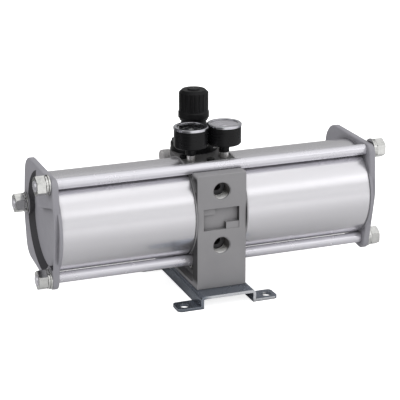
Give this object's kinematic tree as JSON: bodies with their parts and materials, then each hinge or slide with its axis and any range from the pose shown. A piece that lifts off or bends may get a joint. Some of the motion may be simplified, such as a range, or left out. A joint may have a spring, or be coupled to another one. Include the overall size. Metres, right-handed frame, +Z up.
{
  "type": "air pressure booster",
  "caption": "Twin-cylinder air pressure booster with a ported centre block, tie-rod cylinders, knob governor, gauges and a folded mounting foot.",
  "frame": {"origin": "On the plane that the foot stands on, midway between its four fixing holes and under the cylinders' common axis.", "axes": "+X along the cylinders toward the right-hand cover, +Y from the port face toward the back, +Z up toward the governor knob."},
  "size_m": [0.404, 0.1501, 0.2173],
  "materials": {
    "cast_block": "satin grey paint over cast aluminium",
    "cast_cover": "satin grey paint over die-cast aluminium",
    "tube_aluminium": "clear anodised, drawn",
    "painted_steel": "bluish grey, semi-gloss",
    "bright_steel": "bright drawn",
    "chromed_rod": "hard chrome",
    "zinc": "zinc plated",
    "nickel": "nickel plated",
    "bezel_steel": "polished stainless",
    "spring_steel": "oiled",
    "bronze": "machined",
    "black_rubber": "matte",
    "black_plastic": "fine texture",
    "black_case": "black enamel",
    "dark_plate": "dark grey cast aluminium",
    "grey_sinter": "porous",
    "dial_face": "black dial with plain light marks",
    "pointer_paint": "white enamel",
    "clear_lens": "clear",
    "black_oxide": "black oxide on steel screws"
  },
  "bodies": {
    "frame": {"center_block": "cast_block", "foot_bracket": "painted_steel", "foot_screws": "zinc", "cylinder_tube_left": "tube_aluminium", "cylinder_tube_right": "tube_aluminium", "end_cover_left": "cast_cover", "end_cover_right": "cast_cover", "tie_rods": "bright_steel", "tie_rod_washers": "zinc", "tie_rod_spring_washers": "zinc", "tie_rod_nuts": "zinc", "tube_seals": "black_rubber", "transfer_tubes": "bright_steel", "drilling_plug": "zinc", "rod_bush": "bronze", "rod_seals": "black_rubber", "check_rings": "bronze", "inlet_spring_left": "spring_steel", "inlet_spring_right": "spring_steel", "outlet_spring_left": "spring_steel", "outlet_spring_right": "spring_steel", "switch_sleeve": "bright_steel", "switch_caps": "bronze", "governor_plate": "dark_plate", "governor_plate_screws": "black_oxide", "governor_bonnet": "black_plastic", "bonnet_screws": "black_oxide", "diaphragm": "black_rubber", "governor_valve_spring": "spring_steel", "range_spring": "spring_steel", "gauge_clip": "bright_steel", "exhaust_silencer": "grey_sinter", "gauge_case_left": "black_case", "gauge_case_right": "black_case", "gauge_bezel_left": "bezel_steel", "gauge_bezel_right": "bezel_steel", "gauge_lens_left": "clear_lens", "gauge_lens_right": "clear_lens", "gauge_dials": "dial_face", "gauge_movements": "bronze", "gauge_nipples": "nickel"},
    "piston_set": {"piston_rod": "chromed_rod", "piston_nuts": "zinc", "piston_seals": "black_rubber", "piston_left": "tube_aluminium", "piston_right": "tube_aluminium"},
    "inlet_poppet_left": {"inlet_poppet_left": "black_rubber"},
    "inlet_poppet_right": {"inlet_poppet_right": "black_rubber"},
    "outlet_poppet_left": {"outlet_poppet_left": "black_rubber"},
    "outlet_poppet_right": {"outlet_poppet_right": "black_rubber"},
    "switch_spool": {"switch_spool": "bright_steel"},
    "push_pin_left": {"push_pin_left": "bright_steel"},
    "push_pin_right": {"push_pin_right": "bright_steel"},
    "governor_stem": {"diaphragm_plate": "bronze", "governor_valve": "bronze"},
    "spring_seat": {"spring_seat": "zinc"},
    "adjusting_screw": {"adjusting_screw": "zinc"},
    "knob": {"knob": "black_plastic"},
    "gauge_pointer_left": {"gauge_pointer_left": "pointer_paint"},
    "gauge_pointer_right": {"gauge_pointer_right": "pointer_paint"}
  },
  "joints": [
    {"name": "piston_stroke", "type": "slide", "parent": "frame", "child": "piston_set", "axis": [1, 0, 0], "range_m": [-0.054, 0.054]},
    {"name": "inlet_lift_left", "type": "slide", "parent": "frame", "child": "inlet_poppet_left", "axis": [-1, 0, 0], "range_m": [0, 0.002], "stiffness_N_per_m": 400, "springref_m": -0.001, "deforming": ["inlet_spring_left"]},
    {"name": "inlet_lift_right", "type": "slide", "parent": "frame", "child": "inlet_poppet_right", "axis": [1, 0, 0], "range_m": [0, 0.002], "stiffness_N_per_m": 400, "springref_m": -0.001, "deforming": ["inlet_spring_right"]},
    {"name": "outlet_lift_left", "type": "slide", "parent": "frame", "child": "outlet_poppet_left", "axis": [1, 0, 0], "range_m": [0, 0.002], "stiffness_N_per_m": 400, "springref_m": -0.001, "deforming": ["outlet_spring_left"]},
    {"name": "outlet_lift_right", "type": "slide", "parent": "frame", "child": "outlet_poppet_right", "axis": [-1, 0, 0], "range_m": [0, 0.002], "stiffness_N_per_m": 400, "springref_m": -0.001, "deforming": ["outlet_spring_right"]},
    {"name": "spool_shift", "type": "slide", "parent": "frame", "child": "switch_spool", "axis": [1, 0, 0], "range_m": [-0.003, 0.003]},
    {"name": "push_pin_left_travel", "type": "slide", "parent": "frame", "child": "push_pin_left", "axis": [1, 0, 0], "range_m": [0, 0.002]},
    {"name": "push_pin_right_travel", "type": "slide", "parent": "frame", "child": "push_pin_right", "axis": [-1, 0, 0], "range_m": [0, 0.002]},
    {"name": "governor_lift", "type": "slide", "parent": "frame", "child": "governor_stem", "axis": [0, 0, -1], "range_m": [0, 0.001], "stiffness_N_per_m": 2000, "springref_m": -0.001, "deforming": ["diaphragm", "governor_valve_spring", "range_spring"]},
    {"name": "screw_turn", "type": "hinge", "parent": "frame", "child": "adjusting_screw", "pos_m": [0, 0.033, 0.19], "axis": [0, 0, 1], "range_deg": [-540, 540]},
    {"name": "seat_travel", "type": "slide", "parent": "frame", "child": "spring_seat", "axis": [0, 0, 1], "range_m": [-0.00225, 0.00225], "deforming": ["range_spring"]},
    {"name": "knob_lift", "type": "slide", "parent": "adjusting_screw", "child": "knob", "axis": [0, 0, 1], "range_m": [0, 0.003]},
    {"name": "gauge_needle_left", "type": "hinge", "parent": "frame", "child": "gauge_pointer_left", "pos_m": [-0.0195, -0.01, 0.181], "axis": [0, 0, -1], "range_deg": [0, 270], "stiffness_Nm_per_rad": 0.0005, "springref_deg": -5.73},
    {"name": "gauge_needle_right", "type": "hinge", "parent": "frame", "child": "gauge_pointer_right", "pos_m": [0.0195, -0.01, 0.181], "axis": [0, 0, -1], "range_deg": [0, 270], "stiffness_Nm_per_rad": 0.0005, "springref_deg": -5.73}
  ],
  "couplings": [
    {"joint": "screw_turn", "follows": "seat_travel", "rad_per_m": 4188.8}
  ]
}
